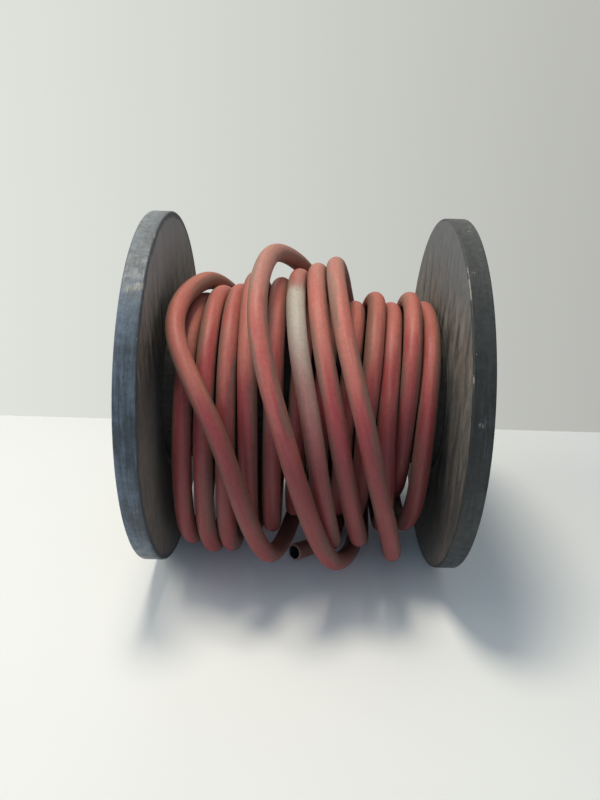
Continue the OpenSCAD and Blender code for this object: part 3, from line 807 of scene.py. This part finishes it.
def stave_paint(drum):
    """Worn black paint over boards whose grain runs along the drum."""
    paint = new_paint("drum_paint")
    place = paint.object_place()
    grain = paint.drawn_out(place, STAVE_GRAIN, 4.0, 0.6)
    wear = paint.noise(place, 30, 4.0, 0.6)
    grained = paint.range(grain, *MOST_OF_NOISE)
    colour = paint.mix(grained, times(drum.paint, 0.7), times(drum.paint, 1.35))
    colour = paint.mix(paint.range(wear, 0.6, 0.72, 0.0, 0.5), colour, drum.worn)
    rough = paint.range(wear, *MOST_OF_NOISE, 0.45, 0.75)
    normal = paint.bump(grain, depth=0.0004)
    return paint.surface(Base_Color=colour, Roughness=rough, Normal=normal)


def plywood(drum):
    """Plies that show in the edge, with a broad grain on the faces."""
    paint = new_paint("plywood")
    place = paint.object_place()
    x = paint.split(place)[0]
    ply = paint.sum_of(x, PLY_THICKNESS, operation="PINGPONG")
    layers = paint.range(ply, PLY_THICKNESS * 0.4, PLY_THICKNESS * 0.6)
    grain = paint.drawn_out(place, HEAD_GRAIN, 5.0, 0.6)
    figure = paint.mix(paint.range(grain, *MOST_OF_NOISE), drum.ply_dark, drum.ply_light)
    colour = paint.mix(paint.product(layers, 0.5), figure, times(drum.ply_dark, 0.8))
    normal = paint.bump(grain, depth=0.0004)
    return paint.surface(Base_Color=colour, Roughness=0.7, Normal=normal)


def dull_steel(steel, name, pattern):
    """Zinc-plated steel with stains, a little rust and fine scratches in a pattern."""
    paint = new_paint(name)
    place = paint.object_place()
    scratches = paint.drawn_out(place, pattern, 4.0, 0.65)
    stains = paint.noise(place, 45, 5.0, 0.65)
    colour = paint.mix(paint.range(stains, 0.42, 0.68), steel.zinc, steel.tarnish)
    rust = paint.range(paint.noise(place, 85, 5.0, 0.7, 0.6), 0.60, 0.70)
    colour = paint.mix(paint.product(rust, 0.85), colour, steel.rust)
    rough = paint.sum_of(
        paint.range(scratches, *MOST_OF_NOISE, 0.30, 0.48), paint.product(rust, 0.35))
    metal = paint.range(rust, 0.0, 1.0, 1.0, 0.15)
    normal = paint.bump(scratches, depth=0.00008)
    normal = paint.bump(rust, depth=0.0002, normal=normal)
    return paint.surface(Base_Color=colour, Metallic=metal, Roughness=rough, Normal=normal)


def painted_steel(drum):
    """Screw heads under the drum's black paint, with dull metal where it has chipped."""
    paint = new_paint("painted_steel")
    chips = paint.range(paint.noise(paint.object_place(), 400, 3.0, 0.6), 0.62, 0.70)
    colour = paint.mix(chips, drum.paint, drum.chipped)
    return paint.surface(
        Base_Color=colour, Metallic=paint.product(chips, 0.8), Roughness=0.55,
        Normal=paint.bump(chips, depth=-0.0001))


def dress(names, material):
    """Gives carried-over solids their finish."""
    for name in names:
        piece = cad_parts[name]
        if not piece.material_slots:
            piece.data.materials.append(material)
        for place in piece.material_slots:
            place.material = material


# ---- Meshes ----
def finish_piece(name, bm, materials, stands_for):
    """Turns a bmesh into a piece that rides on the reel and stands for its solids."""
    mesh = bpy.data.meshes.new(name)
    bm.to_mesh(mesh)
    bm.free()
    for material in materials:
        mesh.materials.append(material)
    piece = bpy.data.objects.new(name, mesh)
    bpy.context.scene.collection.objects.link(piece)
    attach(piece, "root")
    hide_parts(*stands_for)
    return piece


# Numbers of the hose's materials
COVER, TEXTILE, LINING = range(3)
# Edges sharper than this stay sharp on the hose
SHARP_ANGLE = math.radians(50)
# Share of the lip at which its outline bends
LIP_BEND = 0.3


def straight_hose(hose, length):
    """A straight tube along Z, closed at the bottoms of its two bores, in one skin."""
    outer = hose.diameter / 2
    bore = outer - hose.wall
    braid = bore + hose.lining
    cover = braid + hose.braid
    end = [(bore, hose.bore_depth), (bore, 0), (braid, 0), (cover, 0), (outer - hose.lip, 0)]
    end += [(outer - hose.lip * LIP_BEND, hose.lip * LIP_BEND), (outer, hose.lip)]
    outline = end + [(radius, length - along) for radius, along in reversed(end)]

    bm = bmesh.new()
    verts = [bm.verts.new((radius, 0, along)) for radius, along in outline]
    edges = [bm.edges.new(pair) for pair in zip(verts, verts[1:])]
    for edge in edges:
        pieces = math.ceil(edge.calc_length() / hose.ring_space)
        if pieces > 2:
            bmesh.ops.subdivide_edges(bm, edges=[edge], cuts=pieces - 1)
    bmesh.ops.spin(
        bm, geom=[*bm.verts, *bm.edges], cent=(0, 0, 0), axis=(0, 0, 1), dvec=(0, 0, 0),
        angle=2 * math.pi, steps=hose.sides, use_merge=True, use_duplicate=False)
    rims = [edge for edge in bm.edges if edge.is_boundary]
    bmesh.ops.holes_fill(bm, edges=rims, sides=0)
    bmesh.ops.recalc_face_normals(bm, faces=bm.faces)
    for face in bm.faces:
        face.smooth = True
        from_middle = face.calc_center_median().xy.length
        layer = COVER if from_middle > cover else TEXTILE if from_middle > braid else LINING
        face.material_index = layer
    return bm


def wind(bm, route):
    """Lays a straight hose on its route. Attribute laid_out keeps each point's place on the
    straight hose: across, away from the drum, and along."""
    laid_out = bm.verts.layers.float_vector.new("laid_out")
    frames = {}
    for vert in bm.verts:
        across, outward, along = vert.co
        # All points of a ring share one frame
        ring = round(along, 5)
        if ring not in frames:
            frames[ring] = route.frame_along(along)
        vert[laid_out] = vert.co
        vert.co = frames[ring] @ Vector((across, outward, 0))


def hose_centre_line(hose, route):
    """Points from the hose's inner end, at the saddle, to its free end."""
    count = math.ceil(route.length / hose.ring_space)
    places = [route.length * (1 - number / count) for number in range(count + 1)]
    return [route.frame_along(place).translation for place in places]


# ---- Operators ----
class REEL_OT_stage(Operator):
    """Sets the camera, the lamps, the pale table top and the background"""

    bl_idname = "reel.stage"
    bl_label = "Set the Stage"

    def execute(self, context):
        stage = context.scene.reel.stage
        make_camera()
        make_lamps(stage)
        make_background(stage)
        make_floor(stage)
        context.scene.view_settings.view_transform = "Standard"
        return {"FINISHED"}


class REEL_OT_hose(Operator):
    """Winds the rubber hose on the drum and opens its two cut ends"""

    bl_idname = "reel.hose"
    bl_label = "Wind the Hose"

    def execute(self, context):
        hose = context.scene.reel.hose
        route = Route(hose)
        bm = straight_hose(hose, route.length)
        wind(bm, route)
        materials = [rubber_cover(hose, route), hose_textile(hose), hose_lining(hose)]
        piece = finish_piece("rubber_hose", bm, materials, ["hose"])
        piece.data.set_sharp_from_angle(angle=SHARP_ANGLE)
        centre = hose_centre_line(hose, route)
        return {"FINISHED"}


class REEL_OT_cheeks(Operator):
    """Paints and weathers the two round cheeks"""

    bl_idname = "reel.cheeks"
    bl_label = "Finish the Cheeks"

    def execute(self, context):
        cheeks = context.scene.reel.cheeks
        left = CheekLook(
            name="left_cheek_board", seed=4.0, paint=cheeks.left_paint_and_reflection, film=cheeks.left_film_and_light,
            lap=0.006, lower_face_shade=0.75, settled_dust_and_light=0.38, dust=0.5, foot=0.5, wear=0.15,
            marks=((41, 2), (20, 1.5)),
            scuffs=((-0.212, 16, 0.0025), (-0.197, 21, 0.0025),
                    (-0.195, 41, 0.009), (-0.205, 42, 0.008)))
        right = CheekLook(
            name="right_cheek_board", seed=11.0, paint=cheeks.right_paint, film=cheeks.right_film,
            lap=0.001, lower_face_shade=0.5, settled_dust_and_light=0.19, dust=0.18, foot=0.0, wear=0.4,
            marks=((37, 6), (63, 3)),
            scuffs=((0.199, 76, 0.0045), (0.196, 33, 0.003),
                    (0.2075, 9, 0.003), (0.204, 12, 0.0025)))
        for side, look in (("left_cheek", left), ("right_cheek", right)):
            dress([side], cheek_finish(cheeks, look))
        return {"FINISHED"}


class REEL_OT_drum(Operator):
    """Paints the drum's staves and shows the plies of its heads"""

    bl_idname = "reel.drum"
    bl_label = "Finish the Drum"

    def execute(self, context):
        drum = context.scene.reel.drum
        dress(STAVES, stave_paint(drum))
        dress(["left_drum_head", "right_drum_head"], plywood(drum))
        return {"FINISHED"}


class REEL_OT_steel(Operator):
    """Gives the plates, rods, nuts, screws, arbor tube and hose saddle their plating"""

    bl_idname = "reel.steel"
    bl_label = "Finish the Steel"

    def execute(self, context):
        drum = context.scene.reel.drum
        steel = context.scene.reel.steel
        plates = dull_steel(steel, "plate_steel", PLATE_SCRATCHES)
        dress(["left_hub_plate", "right_hub_plate"], plates)
        turned = dull_steel(steel, "turned_steel", TURNED_SCRATCHES)
        dress(["arbor_tube", *TIE_RODS], turned)
        small = dull_steel(steel, "fastener_steel", FASTENER_SCRATCHES)
        groups = ("hub_screws", "rod_washers", "rod_nuts")
        names = [f"{side}_{group}" for side in ("left", "right") for group in groups]
        dress([*names, "hose_saddle", "hose_saddle_screw"], small)
        dress(["left_stave_screws", "right_stave_screws"], painted_steel(drum))
        return {"FINISHED"}


# ---- Stage ----
# The camera's angles are in radians, its lens and sensor in millimetres
CAMERA_PLACE = (-0.0015, -0.9474, 0.6328)
CAMERA_YAW = -0.0037
CAMERA_PITCH = math.radians(22.855)
CAMERA_ROLL = 0.027
CAMERA_LENS = 31.11
CAMERA_SENSOR = 36
CAMERA_NEAREST = 0.01
# Place and diameter of each lamp
TOP_LAMP = ((-0.35, 0.02, 2.25), 0.6)
SIDE_LAMP = ((-1.9, -0.2, 1.5), 1.6)
# Parts of a ray's direction over which the background's painted shade and the fill light change
BACKDROP_SHADE_ACROSS = (-0.45, 0.45)
FILL_ACROSS = (-0.1, 0.8)
FILL_TOWARDS = (0.6, -0.8)
FRONT_TOWARDS = (-0.2, -0.8)
FRONT_LOW = (0.55, 0.15)
TABLE_SIZE = 3.2


def make_camera():
    """A camera in front of the reel that looks down on it."""
    ahead = Vector((
        math.sin(CAMERA_YAW) * math.cos(CAMERA_PITCH),
        math.cos(CAMERA_YAW) * math.cos(CAMERA_PITCH),
        -math.sin(CAMERA_PITCH)))
    right = Vector((math.cos(CAMERA_YAW), -math.sin(CAMERA_YAW), 0))
    up = right.cross(ahead)
    rolled_right = right * math.cos(CAMERA_ROLL) + up * math.sin(CAMERA_ROLL)
    rolled_up = up * math.cos(CAMERA_ROLL) - right * math.sin(CAMERA_ROLL)
    matrix = Matrix((rolled_right, rolled_up, -ahead)).transposed().to_4x4()
    matrix.translation = CAMERA_PLACE
    data = bpy.data.cameras.new("camera")
    data.lens = CAMERA_LENS
    data.sensor_width = CAMERA_SENSOR
    data.clip_start = CAMERA_NEAREST
    camera = bpy.data.objects.new("camera", data)
    camera.matrix_world = matrix
    bpy.context.scene.collection.objects.link(camera)
    bpy.context.scene.camera = camera


def lamp(name, place, diameter, power, colour):
    """A round lamp that shines on the middle of the reel."""
    data = bpy.data.lights.new(name, "AREA")
    data.shape = "DISK"
    data.size = diameter
    data.energy = power
    data.color = colour
    made = bpy.data.objects.new(name, data)
    made.location = place
    ahead = Vector((0, 0, AXIS_HEIGHT)) - Vector(place)
    made.rotation_euler = ahead.to_track_quat("-Z", "Y").to_euler()
    bpy.context.scene.collection.objects.link(made)


def make_lamps(stage):
    lamp("top_lamp", *TOP_LAMP, stage.top_power, stage.lamp_colour)
    lamp("side_lamp", *SIDE_LAMP, stage.side_power, stage.lamp_colour)


def make_background(stage):
    """An even fill light, and a pale background for the rays that look past the reel, darker to the right
    as painted shade.
    """
    world = bpy.data.worlds.new("background")
    bpy.context.scene.world = world
    paint = Paint(world)
    direction = paint.node("ShaderNodeTexCoord").outputs["Generated"]
    across, away, up = paint.split(direction)
    # Background darker towards the right: painted shade
    seen = paint.mix(paint.even(across, *BACKDROP_SHADE_ACROSS), stage.backdrop_lit_left, stage.backdrop_shaded_right)
    rays = paint.node("ShaderNodeLightPath").outputs
    looks = paint.sum_of(
        rays["Is Camera Ray"], rays["Is Glossy Ray"], rays["Is Transmission Ray"], operation="MAXIMUM")
    shown = paint.node("ShaderNodeBackground", {"Color": seen, "Strength": 1.0}).outputs[0]
    tint = paint.mix(paint.range(across, *FILL_ACROSS), stage.fill_left, stage.fill_right)
    low_front = paint.product(paint.range(away, *FRONT_TOWARDS), paint.range(up, *FRONT_LOW))
    tint = paint.mix(low_front, tint, stage.fill_front)
    strength = paint.sum_of(
        paint.range(away, *FILL_TOWARDS, stage.fill * 0.5, stage.fill * 1.25),
        paint.product(low_front, stage.fill))
    fill = paint.node("ShaderNodeBackground", {"Color": tint, "Strength": strength}).outputs[0]
    both = paint.node("ShaderNodeMixShader", {0: looks, 1: fill, 2: shown}).outputs[0]
    paint.node("ShaderNodeOutputWorld", {"Surface": both})


def floor_material(stage):
    """Pale table top with a faint cloudiness."""
    paint = new_paint("table_top")
    cloud = paint.noise(paint.object_place(), 3.0, 3.0)
    colour = paint.mix(paint.range(cloud, *MOST_OF_NOISE), times(stage.floor, 0.985), stage.floor)
    return paint.surface(Base_Color=colour, Roughness=0.55, Specular_IOR_Level=0.3)


def make_floor(stage):
    """A pale table top that ends behind the reel."""
    bm = bmesh.new()
    bmesh.ops.create_grid(bm, x_segments=1, y_segments=1, size=TABLE_SIZE / 2)
    bmesh.ops.translate(bm, vec=(0, stage.back_edge - TABLE_SIZE / 2, 0), verts=bm.verts)
    mesh = bpy.data.meshes.new("table_top")
    bm.to_mesh(mesh)
    bm.free()
    mesh.materials.append(floor_material(stage))
    floor = bpy.data.objects.new("table_top", mesh)
    bpy.context.scene.collection.objects.link(floor)


# ---- Panel and registration ----
MAKERS = (REEL_OT_stage, REEL_OT_hose, REEL_OT_cheeks, REEL_OT_drum, REEL_OT_steel)


class REEL_PT_panel(Panel):
    """Lists the steps that finish the reel"""

    bl_idname = "REEL_PT_panel"
    bl_label = "Hose Reel"
    bl_space_type = "VIEW_3D"
    bl_region_type = "UI"
    bl_category = "Hose Reel"

    def draw(self, context):
        column = self.layout.column()
        for maker in MAKERS:
            column.operator(maker.bl_idname)


GROUPS = (HoseSettings, CheekSettings, DrumSettings, SteelSettings, StageSettings, ReelSettings)


def register():
    for each in (*GROUPS, *MAKERS, REEL_PT_panel):
        bpy.utils.register_class(each)
    bpy.types.Scene.reel = PointerProperty(type=ReelSettings)


def unregister():
    del bpy.types.Scene.reel
    for each in reversed((*GROUPS, *MAKERS, REEL_PT_panel)):
        bpy.utils.unregister_class(each)


def main():
    register()
    bpy.ops.reel.stage()
    bpy.ops.reel.hose()
    bpy.ops.reel.cheeks()
    bpy.ops.reel.drum()
    bpy.ops.reel.steel()


if __name__ == "__main__":
    main()
